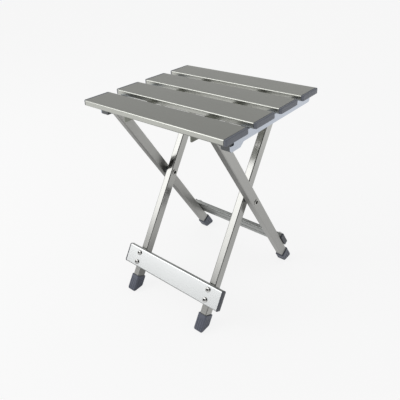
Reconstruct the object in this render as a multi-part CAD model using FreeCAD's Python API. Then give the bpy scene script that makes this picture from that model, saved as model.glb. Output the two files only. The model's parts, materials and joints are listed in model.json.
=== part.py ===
import FreeCAD, Part
import math
import os

# Folding stool: a slatted aluminium seat on two crossing pairs of rectangular tube legs.
# X runs along the slats, Y to the rear and Z up. The origin is on the floor below the middle of the seat.
# Lengths are in millimetres and angles in degrees.

# Seat slats
SEAT_HEIGHT = 414.0
SEAT_LENGTH = 320.0
SLAT_COUNT = 4
SLAT_WIDTH = 59.0
SLAT_GAP = 18.0
SLAT_THICKNESS = 10.5
SLAT_WALL = 1.3
SLAT_CHAMBERS = 3
SLAT_EDGE_RADIUS = 2.5

# End caps of the slats
SLAT_CAP_LENGTH = 4.5
SLAT_CAP_TONGUE = 9.0
SLAT_CAP_CORNER = 4.0
SLAT_CAP_EDGE = 1.0

# Legs and their fold
LEG_WIDTH = 15.0
LEG_DEPTH = 20.0
LEG_WALL = 1.5
LEG_EDGE_RADIUS = 2.0
LEG_SPACING = 7.0
LEG_TOP_ROOM = 2.5
CROSS_PIVOT_HEIGHT = 224.0
SEAT_PIVOT_INSET = 39.4
FOLD_END_GAP = 2.0
PLUG_DEPTH = 16.0

# Feet
FOOT_LENGTH = 30.0
FOOT_WALL = 2.1
FOOT_SOLE = 4.5
FOOT_TOE_RADIUS = 4.5
FOOT_EDGE_RADIUS = 2.6
FOOT_GROOVES = 3
FOOT_GROOVE_WIDTH = 1.4
FOOT_GROOVE_DEPTH = 0.5
FOOT_GROOVE_MARGIN = 7.0

# Crossbars
BAR_WIDTH = 40.0
BAR_THICKNESS = 10.5
BAR_WALL = 1.5
BAR_CHAMBERS = 1
BAR_EDGE_RADIUS = 3.0
BAR_GROOVE_WIDTH = 4.0
BAR_GROOVE_DEPTH = 0.7
BAR_OVERHANG = 3.0
BAR_ABOVE_FOOT = 20.5
BAR_CAP_LENGTH = 3.0
BAR_CAP_ROOM = 1.0
BAR_CAP_CORNER = 2.7
BAR_CAP_EDGE = 1.0
BAR_RIVET_SPACING = 20.0

# Rails below the slats
RAIL_WALL = 2.0
RAIL_INSET = 11.0
OUTER_RAIL_DEPTH = 15.5
OUTER_RAIL_FLANGE = 18.0
OUTER_RAIL_REAR_INSET = 10.0
OUTER_RAIL_REAR_RADIUS = 6.0
EAR_LENGTH = 25.0
EAR_DEPTH = 22.5
EAR_SLOPE = 9.0
EAR_CORNER = 3.0
EAR_NOTCH_LENGTH = 8.0
EAR_NOTCH_HEIGHT = 10.5
INNER_RAIL_FLANGE = 19.0
INNER_RAIL_LIP = 4.0
INNER_RAIL_MARGIN = 16.0
INNER_RAIL_CORNER = 2.0

# Pins, bushes and rivets
PIN_RADIUS = 4.5
PIN_BORE_RADIUS = 3.9
PIN_RIM_RADIUS = 5.8
PIN_RIM_HEIGHT = 1.2
HEAD_RIM = 0.6
PIVOT_BLOCK_WIDTH = 17.0
PIVOT_BLOCK_EDGE = 4.0
PIVOT_BOSS_RADIUS = 9.0
PIVOT_BOSS_LENGTH = 8.0
SPACER_RADIUS = 7.0
SLIDE_PIN_RADIUS = 3.5
SLIDE_PIN_HEAD_RADIUS = 6.5
SLIDE_PIN_HEAD_HEIGHT = 2.2
SLIDE_BUSH_RADIUS = 7.5
SLIDE_BUSH_LENGTH = 7.2
SLIDE_NECK_WALL = 1.2
BAR_RIVET_RADIUS = 2.5
BAR_RIVET_HEAD_RADIUS = 5.3
BAR_RIVET_HEAD_HEIGHT = 3.0
SLAT_RIVET_RADIUS = 2.0
SLAT_RIVET_HEAD_RADIUS = 4.0
SLAT_RIVET_HEAD_HEIGHT = 1.6
RIVET_TAIL_STEP = 1.2
RIVET_TAIL_HEIGHT = 1.8

# Clearances
FIT_CLEARANCE = 0.05
RUNNING_CLEARANCE = 0.08
FACE_CLEARANCE = 0.2
SLOT_CLEARANCE = 0.3
SLEEVE_CLEARANCE = 0.1

# Largest part of a cap's thickness that its rounded edge may take
ROUND_SHARE = 0.9

# Places worked out from the sizes above, along Y and Z
SEAT_DEPTH = SLAT_COUNT * SLAT_WIDTH + (SLAT_COUNT - 1) * SLAT_GAP
SLAT_UNDERSIDE = SEAT_HEIGHT - SLAT_THICKNESS
PIVOT_DROP = LEG_DEPTH / 2 + LEG_TOP_ROOM
SEAT_PIVOT_HEIGHT = SLAT_UNDERSIDE - PIVOT_DROP
SEAT_PIVOT_REACH = SEAT_DEPTH / 2 - SEAT_PIVOT_INSET
LEAN = math.atan2(SEAT_PIVOT_REACH, SEAT_PIVOT_HEIGHT - CROSS_PIVOT_HEIGHT)
LEG_ABOVE = SEAT_PIVOT_REACH / math.sin(LEAN)
LEG_BELOW = CROSS_PIVOT_HEIGHT / math.cos(LEAN)
TUBE_END = LEG_BELOW - (FOOT_SOLE + LEG_DEPTH / 2 * math.sin(LEAN)) / math.cos(LEAN)
FOOT_TOP = LEG_BELOW - FOOT_LENGTH
BAR_LOW = FOOT_TOP - BAR_ABOVE_FOOT
BAR_HIGH = BAR_LOW - BAR_WIDTH
BAR_MIDDLE = BAR_LOW - BAR_WIDTH / 2
SLIDE_NECK_RADIUS = SLIDE_PIN_RADIUS + FIT_CLEARANCE + SLIDE_NECK_WALL
SLOT_HALF_WIDTH = SLIDE_NECK_RADIUS + SLOT_CLEARANCE

# Places along X, from the end of the seat towards its middle
OUTER_RAIL_FACE = SEAT_LENGTH / 2 - RAIL_INSET
PIVOT_BLOCK_FACE = OUTER_RAIL_FACE - RAIL_WALL - PIVOT_BLOCK_WIDTH
OUTER_LEG_FACE = PIVOT_BLOCK_FACE - PIVOT_BOSS_LENGTH - FACE_CLEARANCE
OUTER_LEG_X = OUTER_LEG_FACE - LEG_WIDTH / 2
INNER_LEG_X = OUTER_LEG_X - LEG_WIDTH - LEG_SPACING
INNER_RAIL_FACE = INNER_LEG_X - LEG_WIDTH / 2 - SLIDE_BUSH_LENGTH - FACE_CLEARANCE
BAR_HALF_LENGTH = OUTER_LEG_FACE + BAR_OVERHANG
BAR_CAP_START = BAR_HALF_LENGTH - BAR_CAP_LENGTH
BAR_CAP_TONGUE = BAR_CAP_START - OUTER_LEG_X - BAR_RIVET_RADIUS - BAR_CAP_ROOM

X_AXIS = FreeCAD.Vector(1, 0, 0)
Z_AXIS = FreeCAD.Vector(0, 0, 1)
ORIGIN = FreeCAD.Vector(0, 0, 0)
SIDES = {"right": 1, "left": -1}


# Outlines and simple solids

def rounded_wire(corners):
    """Closed wire through corners, each a pair of a point and the radius that rounds it."""
    runs = []
    for index, (point, radius) in enumerate(corners):
        back = corners[index - 1][0].sub(point)
        ahead = corners[(index + 1) % len(corners)][0].sub(point)
        half_angle = back.getAngle(ahead) / 2
        back.normalize()
        ahead.normalize()
        middle = back.add(ahead)
        middle.normalize()
        reach = radius / math.tan(half_angle)
        depth = radius / math.sin(half_angle) - radius
        runs.append((point + back * reach, point + middle * depth, point + ahead * reach, radius))
    edges = []
    for index, (start, top, end, radius) in enumerate(runs):
        if radius > 0:
            edges.append(Part.Arc(start, top, end).toShape())
        edges.append(Part.makeLine(end, runs[(index + 1) % len(runs)][0]))
    return Part.Wire(edges)


def slab(outline, x_low, x_high):
    """Solid from x_low to x_high with an outline of (y, z, radius) corners."""
    corners = [(FreeCAD.Vector(x_low, y, z), radius) for y, z, radius in outline]
    return Part.Face(rounded_wire(corners)).extrude(X_AXIS * (x_high - x_low))


def prism(outline, y_low, y_high):
    """Solid from y_low to y_high with an outline of (x, z, radius) corners."""
    corners = [(FreeCAD.Vector(x, y_low, z), radius) for x, z, radius in outline]
    return Part.Face(rounded_wire(corners)).extrude(FreeCAD.Vector(0, y_high - y_low, 0))


def column(width, depth, radius, z_low, z_high):
    """Upright solid with a rounded rectangular section, centred on the Z axis."""
    places = [(-1, -1), (1, -1), (1, 1), (-1, 1)]
    corners = [(FreeCAD.Vector(x * width / 2, y * depth / 2, z_low), radius) for x, y in places]
    return Part.Face(rounded_wire(corners)).extrude(FreeCAD.Vector(0, 0, z_high - z_low))


def rectangle(y_low, y_high, z_low, z_high, radius):
    """Outline of a rectangle with four equal corners."""
    corners = [(y_low, z_low), (y_high, z_low), (y_high, z_high), (y_low, z_high)]
    return [(y, z, radius) for y, z in corners]


def cross_rod(radius, x_low, x_high, y, z):
    """Round rod along X."""
    return Part.makeCylinder(radius, x_high - x_low, FreeCAD.Vector(x_low, y, z), X_AXIS)


def ring(outer, bore, x_low, x_high, y, z):
    """Round ring along X."""
    return cross_rod(outer, x_low, x_high, y, z).cut(cross_rod(bore, x_low, x_high, y, z))


def mirrored(shape, side):
    """Shape made for the right-hand side, mirrored for the left."""
    if side > 0:
        return shape
    return shape.mirror(ORIGIN, X_AXIS)


def turned(profile):
    """Round solid about the Z axis, with a profile of (distance from the axis, z) corners."""
    points = [FreeCAD.Vector(distance, 0, z) for distance, z in profile]
    return Part.Face(Part.makePolygon(points + points[:1])).revolve(ORIGIN, Z_AXIS, 360)


def chamfered_head(radius, height):
    """Corners of a pin's head above Z = 0, from its rim to the middle of its crown."""
    return [(radius, 0), (radius, HEAD_RIM), (radius - height + HEAD_RIM, height), (0, height)]


def plain_pin(radius, head_radius, head_height, length):
    """Pin along Z with its head above Z = 0."""
    return turned([(0, -length), (radius, -length), (radius, 0)] + chamfered_head(head_radius, head_height))


def riveted_pin(radius, head_radius, head_height, grip, tail_radius, tail_height):
    """Pin along Z with its head above Z = 0 and a flat tail below the grip."""
    low = -grip - tail_height
    tail = [(0, low), (tail_radius, low), (tail_radius, -grip), (radius, -grip), (radius, 0)]
    return turned(tail + chamfered_head(head_radius, head_height))


def tubular_rivet(length):
    """Hollow rivet along Z from 0 to a length, with a chamfered rim beyond each end."""
    top = length + PIN_RIM_HEIGHT
    flat_radius = PIN_RIM_RADIUS - PIN_RIM_HEIGHT + HEAD_RIM
    return turned([
        (PIN_BORE_RADIUS, -PIN_RIM_HEIGHT), (flat_radius, -PIN_RIM_HEIGHT), (PIN_RIM_RADIUS, -HEAD_RIM),
        (PIN_RIM_RADIUS, 0), (PIN_RADIUS, 0), (PIN_RADIUS, length), (PIN_RIM_RADIUS, length),
        (PIN_RIM_RADIUS, length + HEAD_RIM), (flat_radius, top), (PIN_BORE_RADIUS, top)])


def aimed(shape, direction, place):
    """Shape turned from +Z to a direction and moved to a place."""
    turn = FreeCAD.Rotation(Z_AXIS, direction)
    placed = shape.copy()
    placed.Placement = FreeCAD.Placement(place, turn)
    return placed


# Hollow bars with end caps, used for the slats and the crossbars

def chambers(y_low, y_high, z_low, z_high, wall, count):
    """Limits of the equal hollows of an extrusion, side by side along Y."""
    pitch = (y_high - y_low - wall) / count
    rows = []
    for index in range(count):
        start = y_low + wall + index * pitch
        rows.append((start, start + pitch - wall, z_low + wall, z_high - wall))
    return rows


def hollow_bar(limits, radius, wall, count, half_length):
    """Extrusion along X with its hollows."""
    bar = slab(rectangle(*limits, radius), -half_length, half_length)
    for hollow in chambers(*limits, wall, count):
        bar = bar.cut(slab(rectangle(*hollow, inner_radius(radius, wall)), -half_length, half_length))
    return bar


def inner_radius(radius, wall):
    """Corner radius of a hollow that follows the rounded outside of its wall."""
    return max(radius - wall, 0)


def rounding(radius, side):
    """Radius, limited so that a short side keeps some flat."""
    return min(radius, side * ROUND_SHARE)


def end_cap(limits, radius, wall, count, x_low, length, tongue, corner, edge):
    """Cap at the +X end of a hollow bar: a rounded plate with a tongue in each hollow."""
    y_low, y_high, z_low, z_high = limits
    x_high = x_low + length
    corner = rounding(corner, length)
    edge = rounding(edge, length)
    plate = slab(rectangle(*limits, radius), x_low, x_high)
    plan = [(x_low, y_low, 0), (x_high, y_low, corner), (x_high, y_high, corner), (x_low, y_high, 0)]
    plan_corners = [(FreeCAD.Vector(x, y, z_low), r) for x, y, r in plan]
    plan_solid = Part.Face(rounded_wire(plan_corners)).extrude(FreeCAD.Vector(0, 0, z_high - z_low))
    front = [(x_low, z_low, 0), (x_high, z_low, edge), (x_high, z_high, edge), (x_low, z_high, 0)]
    cap = plate.common(plan_solid).common(prism(front, y_low, y_high))
    fit = SLEEVE_CLEARANCE
    for y0, y1, z0, z1 in chambers(*limits, wall, count):
        outline = rectangle(y0 + fit, y1 - fit, z0 + fit, z1 - fit, inner_radius(radius, wall))
        cap = cap.fuse(slab(outline, x_low - tongue, x_low))
    return cap.removeSplitter()


# Seat

def slat_limits(index):
    """Lowest and highest Y and Z of one slat, counted from the front."""
    y_low = -SEAT_DEPTH / 2 + index * (SLAT_WIDTH + SLAT_GAP)
    return (y_low, y_low + SLAT_WIDTH, SLAT_UNDERSIDE, SEAT_HEIGHT)


def slat_rivet_places():
    """Points on the undersides of the rail flanges where a rivet goes up into a slat."""
    outer = OUTER_RAIL_FACE - RAIL_WALL - (OUTER_RAIL_FLANGE - RAIL_WALL) / 2
    inner = INNER_RAIL_FACE - RAIL_WALL - (INNER_RAIL_FLANGE - RAIL_WALL) / 2
    places = []
    for index in range(SLAT_COUNT):
        y_low, y_high, _, _ = slat_limits(index)
        for x in (-outer, -inner, inner, outer):
            places.append(FreeCAD.Vector(x, (y_low + y_high) / 2, SLAT_UNDERSIDE - RAIL_WALL))
    return places


def rivet_holes():
    """Drills for the slat rivets, through flange and slat wall."""
    length = RAIL_WALL + SLAT_WALL
    radius = SLAT_RIVET_RADIUS + FIT_CLEARANCE
    return [Part.makeCylinder(radius, length, place) for place in slat_rivet_places()]


def seat_slat(index):
    """One hollow slat with its rivet holes."""
    half_length = SEAT_LENGTH / 2 - SLAT_CAP_LENGTH
    slat = hollow_bar(slat_limits(index), SLAT_EDGE_RADIUS, SLAT_WALL, SLAT_CHAMBERS, half_length)
    return slat.cut(rivet_holes())


def slat_end_cap(index, side):
    """Plastic cap on one end of a slat."""
    cap = end_cap(
        slat_limits(index), SLAT_EDGE_RADIUS, SLAT_WALL, SLAT_CHAMBERS, SEAT_LENGTH / 2 - SLAT_CAP_LENGTH,
        SLAT_CAP_LENGTH, SLAT_CAP_TONGUE, SLAT_CAP_CORNER, SLAT_CAP_EDGE)
    return mirrored(cap, side)


def slat_rivets():
    """All rivets between rails and slats, heads down."""
    rivet = riveted_pin(
        SLAT_RIVET_RADIUS, SLAT_RIVET_HEAD_RADIUS, SLAT_RIVET_HEAD_HEIGHT, RAIL_WALL + SLAT_WALL,
        SLAT_RIVET_RADIUS + RIVET_TAIL_STEP, RIVET_TAIL_HEIGHT)
    return Part.Compound([aimed(rivet, -Z_AXIS, place) for place in slat_rivet_places()])


def flange(x_low, x_high, y_low, y_high):
    """Flat upper wall of a rail, against the undersides of the slats."""
    corner = FreeCAD.Vector(x_low, y_low, SLAT_UNDERSIDE - RAIL_WALL)
    return Part.makeBox(x_high - x_low, y_high - y_low, RAIL_WALL, corner)


def ear_ends():
    """Front and rear Y of the ear of an outer rail, about the seat pivot."""
    return (-SEAT_PIVOT_REACH - EAR_LENGTH / 2, -SEAT_PIVOT_REACH + EAR_LENGTH / 2)


def outer_rail(side):
    """Angle rail with a deeper front ear, which is notched below the flange."""
    front, ear_end = ear_ends()
    rear = SEAT_DEPTH / 2 - OUTER_RAIL_REAR_INSET
    shallow = SLAT_UNDERSIDE - OUTER_RAIL_DEPTH
    deep = SLAT_UNDERSIDE - EAR_DEPTH
    notch_end = front + EAR_NOTCH_LENGTH
    notch_low = SLAT_UNDERSIDE - RAIL_WALL - EAR_NOTCH_HEIGHT
    outline = [
        (notch_end, SLAT_UNDERSIDE, 0), (notch_end, notch_low, 0), (front, notch_low, 0),
        (front, deep, EAR_CORNER), (ear_end, deep, EAR_CORNER),
        (ear_end + EAR_SLOPE, shallow, EAR_CORNER), (rear, shallow, OUTER_RAIL_REAR_RADIUS),
        (rear, SLAT_UNDERSIDE, 0)]
    web = slab(outline, OUTER_RAIL_FACE - RAIL_WALL, OUTER_RAIL_FACE)
    upper = flange(OUTER_RAIL_FACE - OUTER_RAIL_FLANGE, OUTER_RAIL_FACE, front, rear)
    rail = web.fuse(upper).removeSplitter()
    return mirrored(rail.cut(rivet_holes()), side)


def slot_ends():
    """Furthest front and rear Y of the slide pin's axis in the inner rails."""
    return (-SEAT_PIVOT_REACH + FOLD_END_GAP, SEAT_PIVOT_REACH)


def inner_rail(side):
    """Angle rail with the long slot that guides a slide pin."""
    first, last = slot_ends()
    front = first - SLOT_HALF_WIDTH - INNER_RAIL_MARGIN
    rear = last + SLOT_HALF_WIDTH + INNER_RAIL_MARGIN
    deep = SEAT_PIVOT_HEIGHT - SLOT_HALF_WIDTH - INNER_RAIL_LIP
    outline = [
        (front, SLAT_UNDERSIDE, 0), (front, deep, INNER_RAIL_CORNER), (rear, deep, INNER_RAIL_CORNER),
        (rear, SLAT_UNDERSIDE, 0)]
    x_low = INNER_RAIL_FACE - RAIL_WALL
    web = slab(outline, x_low, INNER_RAIL_FACE)
    upper = flange(INNER_RAIL_FACE - INNER_RAIL_FLANGE, INNER_RAIL_FACE, front, rear)
    rail = web.fuse(upper).removeSplitter()
    z_low = SEAT_PIVOT_HEIGHT - SLOT_HALF_WIDTH
    z_high = SEAT_PIVOT_HEIGHT + SLOT_HALF_WIDTH
    slot = slab(rectangle(first, last, z_low, z_high, 0), x_low, INNER_RAIL_FACE)
    for y in (first, last):
        slot = slot.fuse(cross_rod(SLOT_HALF_WIDTH, x_low, INNER_RAIL_FACE, y, SEAT_PIVOT_HEIGHT))
    return mirrored(rail.cut(rivet_holes() + [slot]), side)


def seat_pivot_pin(side):
    """Pin from the pivot block through the outer leg, with its head on the leg's inner side."""
    x_end = OUTER_RAIL_FACE - RAIL_WALL - FACE_CLEARANCE
    x_head = OUTER_LEG_FACE - LEG_WIDTH - FACE_CLEARANCE
    pin = plain_pin(PIN_RADIUS, PIN_RIM_RADIUS, PIN_RIM_HEIGHT, x_end - x_head)
    place = FreeCAD.Vector(x_head, -SEAT_PIVOT_REACH, SEAT_PIVOT_HEIGHT)
    return mirrored(aimed(pin, -X_AXIS, place), side)


def seat_pivot_bush(side):
    """Plastic block that fills the ear and holds the pivot pin, with a round boss towards the outer leg."""
    front, ear_end = ear_ends()
    low = SLAT_UNDERSIDE - EAR_DEPTH
    high = SLAT_UNDERSIDE - RAIL_WALL - SLAT_RIVET_HEAD_HEIGHT - SLOT_CLEARANCE
    x_high = OUTER_RAIL_FACE - RAIL_WALL
    x_low = PIVOT_BLOCK_FACE - PIVOT_BOSS_LENGTH
    side_view = [(front, high, 0), (front, low, EAR_CORNER), (ear_end, low, EAR_CORNER), (ear_end, high, 0)]
    front_view = [
        (PIVOT_BLOCK_FACE, low, PIVOT_BLOCK_EDGE), (x_high, low, 0), (x_high, high, 0),
        (PIVOT_BLOCK_FACE, high, 0)]
    block = slab(side_view, PIVOT_BLOCK_FACE, x_high).common(prism(front_view, front, ear_end))
    boss = cross_rod(PIVOT_BOSS_RADIUS, x_low, PIVOT_BLOCK_FACE, -SEAT_PIVOT_REACH, SEAT_PIVOT_HEIGHT)
    bore = cross_rod(PIN_RADIUS + FIT_CLEARANCE, x_low, x_high, -SEAT_PIVOT_REACH, SEAT_PIVOT_HEIGHT)
    return mirrored(block.fuse(boss).removeSplitter().cut(bore), side)


# Leg frames, made upright about the cross pivot and then leaned.
# The outer legs lean their tops to the front (facing 1), the inner legs to the rear (facing -1).
# A crossbar lies on the side of the legs that faces up.

def leaned(shape, facing):
    """Shape turned from the upright leg's frame to where it stands."""
    placed = shape.copy()
    turn = FreeCAD.Rotation(X_AXIS, facing * math.degrees(LEAN))
    stand = FreeCAD.Placement(FreeCAD.Vector(0, 0, CROSS_PIVOT_HEIGHT), turn)
    placed.Placement = stand.multiply(placed.Placement)
    return placed


def leg_x(facing):
    """Middle of the right-hand leg of a pair."""
    return OUTER_LEG_X if facing > 0 else INNER_LEG_X


def round_top(x_half, low):
    """Side view of a leg with its round top about the upper pivot, as a solid to trim with."""
    half_depth = LEG_DEPTH / 2
    block = slab(rectangle(-half_depth, half_depth, low, LEG_ABOVE, 0), -x_half, x_half)
    return block.fuse(cross_rod(half_depth, -x_half, x_half, 0, LEG_ABOVE))


def bar_rivet_heights():
    """Distances of the two bar rivets from the cross pivot, along the leg."""
    return (-BAR_MIDDLE - BAR_RIVET_SPACING / 2, -BAR_MIDDLE + BAR_RIVET_SPACING / 2)


def bar_rivet_hole(x, height, facing):
    """Drill for a bar rivet, through the crossbar and the near wall of the leg."""
    start = FreeCAD.Vector(x, facing * (LEG_DEPTH / 2 - LEG_WALL), height)
    length = LEG_WALL + BAR_THICKNESS
    return Part.makeCylinder(BAR_RIVET_RADIUS + FIT_CLEARANCE, length, start, FreeCAD.Vector(0, facing, 0))


def leg(facing, side):
    """Rectangular tube with a round top and its pin and rivet holes."""
    x_half = LEG_WIDTH / 2
    top = LEG_ABOVE + LEG_DEPTH / 2
    tube = column(LEG_WIDTH, LEG_DEPTH, LEG_EDGE_RADIUS, -TUBE_END, top)
    tube = tube.cut(column(LEG_WIDTH - 2 * LEG_WALL, LEG_DEPTH - 2 * LEG_WALL, 0, -TUBE_END, top))
    tube = tube.common(round_top(x_half, -TUBE_END))
    cross_fit = FIT_CLEARANCE if facing > 0 else RUNNING_CLEARANCE
    holes = [
        cross_rod(PIN_RADIUS + cross_fit, -x_half, x_half, 0, 0),
        cross_rod(top_hole_radius(facing), -x_half, x_half, 0, LEG_ABOVE)]
    holes += [bar_rivet_hole(0, height, facing) for height in bar_rivet_heights()]
    tube = tube.cut(holes)
    tube.translate(X_AXIS * leg_x(facing))
    return mirrored(leaned(tube, facing), side)


def top_hole_radius(facing):
    """Hole at the top of a leg: it turns on the seat pivot, or holds the slide pin."""
    return PIN_RADIUS + RUNNING_CLEARANCE if facing > 0 else SLIDE_PIN_RADIUS + FIT_CLEARANCE


def leg_top_plug(facing, side):
    """Plastic plug in the top of a leg, rounded like the tube and bored for the pin."""
    width = LEG_WIDTH - 2 * LEG_WALL - 2 * SLEEVE_CLEARANCE
    depth = LEG_DEPTH - 2 * LEG_WALL - 2 * SLEEVE_CLEARANCE
    plug = column(width, depth, 0, LEG_ABOVE - PLUG_DEPTH, LEG_ABOVE + LEG_DEPTH / 2)
    plug = plug.common(round_top(width / 2, LEG_ABOVE - PLUG_DEPTH))
    plug = plug.cut(cross_rod(top_hole_radius(facing), -width / 2, width / 2, 0, LEG_ABOVE))
    plug.translate(X_AXIS * leg_x(facing))
    return mirrored(leaned(plug, facing), side)


def foot(facing, side):
    """Plastic sleeve over the lower end of a leg, with a level sole, a round toe and moulded grooves."""
    wall = FOOT_WALL + SLEEVE_CLEARANCE
    half_depth = LEG_DEPTH / 2 + wall
    half_width = LEG_WIDTH / 2 + wall
    sole_rise = half_depth * math.tan(LEAN)
    lower = -LEG_BELOW - sole_rise
    higher = -LEG_BELOW + sole_rise
    upper_side = facing * half_depth
    outline = [
        (-upper_side, -FOOT_TOP, 0), (-upper_side, higher, FOOT_TOE_RADIUS),
        (upper_side, lower, FOOT_TOE_RADIUS), (upper_side, -FOOT_TOP, 0)]
    sleeve = slab(outline, -half_width, half_width)
    sleeve = sleeve.common(column(2 * half_width, 2 * half_depth, FOOT_EDGE_RADIUS, lower, -FOOT_TOP))
    pocket_width = LEG_WIDTH + 2 * SLEEVE_CLEARANCE
    pocket_depth = LEG_DEPTH + 2 * SLEEVE_CLEARANCE
    sleeve = sleeve.cut(column(pocket_width, pocket_depth, LEG_EDGE_RADIUS, -TUBE_END, -FOOT_TOP))
    sleeve = sleeve.cut(foot_grooves(half_width, half_depth, lower))
    sleeve.translate(X_AXIS * leg_x(facing))
    return mirrored(leaned(sleeve, facing), side)


def foot_grooves(half_width, half_depth, lower):
    """Grooves along the four sides of a foot."""
    high = -FOOT_TOP - FOOT_GROOVE_MARGIN
    reach = FOOT_GROOVE_DEPTH
    grooves = []
    for index in range(FOOT_GROOVES):
        share = (index + 1) / (FOOT_GROOVES + 1) * 2 - 1
        for sign in (-1, 1):
            front = Part.makeBox(FOOT_GROOVE_WIDTH, 2 * reach, high - lower)
            front.translate(FreeCAD.Vector(
                share * half_width - FOOT_GROOVE_WIDTH / 2, sign * half_depth - reach, lower))
            flank = Part.makeBox(2 * reach, FOOT_GROOVE_WIDTH, high - lower)
            flank.translate(FreeCAD.Vector(
                sign * half_width - reach, share * half_depth - FOOT_GROOVE_WIDTH / 2, lower))
            grooves += [front, flank]
    return grooves


def bar_limits(facing):
    """Lowest and highest Y and Z of a crossbar in the upright leg's frame."""
    near = LEG_DEPTH / 2
    far = near + BAR_THICKNESS
    low, high = sorted((facing * near, facing * far))
    return (low, high, -BAR_LOW, -BAR_HIGH)


def crossbar(facing):
    """Flat hollow bar across both legs of a pair, with a groove on the legs' side and its rivet holes."""
    bar = hollow_bar(bar_limits(facing), BAR_EDGE_RADIUS, BAR_WALL, BAR_CHAMBERS, BAR_CAP_START)
    y_low, y_high = sorted((facing * LEG_DEPTH / 2, facing * (LEG_DEPTH / 2 + BAR_GROOVE_DEPTH)))
    half_groove = BAR_GROOVE_WIDTH / 2
    groove = rectangle(y_low, y_high, -BAR_MIDDLE - half_groove, -BAR_MIDDLE + half_groove, 0)
    holes = [slab(groove, -BAR_CAP_START, BAR_CAP_START)]
    for side in SIDES.values():
        holes += [bar_rivet_hole(side * leg_x(facing), height, facing) for height in bar_rivet_heights()]
    return leaned(bar.cut(holes), facing)


def crossbar_cap(facing, side):
    """Plastic cap on one end of a crossbar."""
    cap = end_cap(
        bar_limits(facing), BAR_EDGE_RADIUS, BAR_WALL, BAR_CHAMBERS, BAR_CAP_START,
        BAR_CAP_LENGTH, BAR_CAP_TONGUE, BAR_CAP_EDGE, BAR_CAP_CORNER)
    return mirrored(leaned(cap, facing), side)


def crossbar_rivets(facing):
    """The rivets that hold a crossbar to its two legs."""
    rivet = riveted_pin(
        BAR_RIVET_RADIUS, BAR_RIVET_HEAD_RADIUS, BAR_RIVET_HEAD_HEIGHT, BAR_THICKNESS + LEG_WALL,
        BAR_RIVET_RADIUS + RIVET_TAIL_STEP, RIVET_TAIL_HEIGHT)
    rivets = []
    for side in SIDES.values():
        for height in bar_rivet_heights():
            place = FreeCAD.Vector(side * leg_x(facing), facing * (LEG_DEPTH / 2 + BAR_THICKNESS), height)
            rivets.append(leaned(aimed(rivet, FreeCAD.Vector(0, facing, 0), place), facing))
    return Part.Compound(rivets)


def cross_pivot_pin(side):
    """Hollow rivet that joins an outer leg and an inner leg where they cross."""
    x_tail = INNER_LEG_X - LEG_WIDTH / 2 - FACE_CLEARANCE
    place = FreeCAD.Vector(x_tail, 0, CROSS_PIVOT_HEIGHT)
    return mirrored(aimed(tubular_rivet(OUTER_LEG_FACE - x_tail), X_AXIS, place), side)


def cross_pivot_spacer(side):
    """Washer that keeps the two legs apart at the cross pivot."""
    x_high = OUTER_LEG_FACE - LEG_WIDTH
    x_low = x_high - LEG_SPACING + FACE_CLEARANCE
    spacer = ring(SPACER_RADIUS, PIN_RADIUS + FIT_CLEARANCE, x_low, x_high, 0, CROSS_PIVOT_HEIGHT)
    return mirrored(spacer, side)


def slide_pin(side):
    """Pin at the top of an inner leg that runs in the slot of the inner rail."""
    x_head = INNER_LEG_X + LEG_WIDTH / 2
    x_tail = INNER_RAIL_FACE - RAIL_WALL - FACE_CLEARANCE
    pin = riveted_pin(
        SLIDE_PIN_RADIUS, SLIDE_PIN_HEAD_RADIUS, SLIDE_PIN_HEAD_HEIGHT, x_head - x_tail,
        SLIDE_PIN_HEAD_RADIUS, SLIDE_PIN_HEAD_HEIGHT)
    return mirrored(aimed(pin, X_AXIS, FreeCAD.Vector(x_head, SEAT_PIVOT_REACH, SEAT_PIVOT_HEIGHT)), side)


def slide_bush(side):
    """Plastic bush on a slide pin, with a neck in the slot."""
    x_high = INNER_LEG_X - LEG_WIDTH / 2
    x_step = x_high - SLIDE_BUSH_LENGTH
    x_low = INNER_RAIL_FACE - RAIL_WALL - FACE_CLEARANCE
    bore = SLIDE_PIN_RADIUS + FIT_CLEARANCE
    bush = ring(SLIDE_BUSH_RADIUS, bore, x_step, x_high, SEAT_PIVOT_REACH, SEAT_PIVOT_HEIGHT)
    neck = ring(SLIDE_NECK_RADIUS, bore, x_low, x_step, SEAT_PIVOT_REACH, SEAT_PIVOT_HEIGHT)
    return mirrored(bush.fuse(neck).removeSplitter(), side)


def stool():
    """All pieces of the stool by name."""
    pieces = {}
    for index in range(SLAT_COUNT):
        pieces[f"seat_slat_{index + 1}"] = seat_slat(index)
        for word, side in SIDES.items():
            pieces[f"slat_end_cap_{word}_{index + 1}"] = slat_end_cap(index, side)
    pieces["slat_rivets"] = slat_rivets()
    for word, side in SIDES.items():
        pieces[f"outer_rail_{word}"] = outer_rail(side)
        pieces[f"inner_rail_{word}"] = inner_rail(side)
        pieces[f"seat_pivot_pin_{word}"] = seat_pivot_pin(side)
        pieces[f"seat_pivot_bush_{word}"] = seat_pivot_bush(side)
        pieces[f"cross_pivot_pin_{word}"] = cross_pivot_pin(side)
        pieces[f"cross_pivot_spacer_{word}"] = cross_pivot_spacer(side)
        pieces[f"slide_pin_{word}"] = slide_pin(side)
        pieces[f"slide_bush_{word}"] = slide_bush(side)
    for pair, bar, facing in (("outer", "rear", 1), ("inner", "front", -1)):
        pieces[f"{bar}_crossbar"] = crossbar(facing)
        pieces[f"{bar}_crossbar_rivets"] = crossbar_rivets(facing)
        for word, side in SIDES.items():
            pieces[f"{bar}_crossbar_cap_{word}"] = crossbar_cap(facing, side)
            pieces[f"{pair}_leg_{word}"] = leg(facing, side)
            pieces[f"{pair}_leg_foot_{word}"] = foot(facing, side)
            pieces[f"{pair}_leg_top_plug_{word}"] = leg_top_plug(facing, side)
    return pieces


os.makedirs("parts", exist_ok=True)
for name, shape in stool().items():
    shape.exportStep(f"parts/{name}.step")
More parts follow.
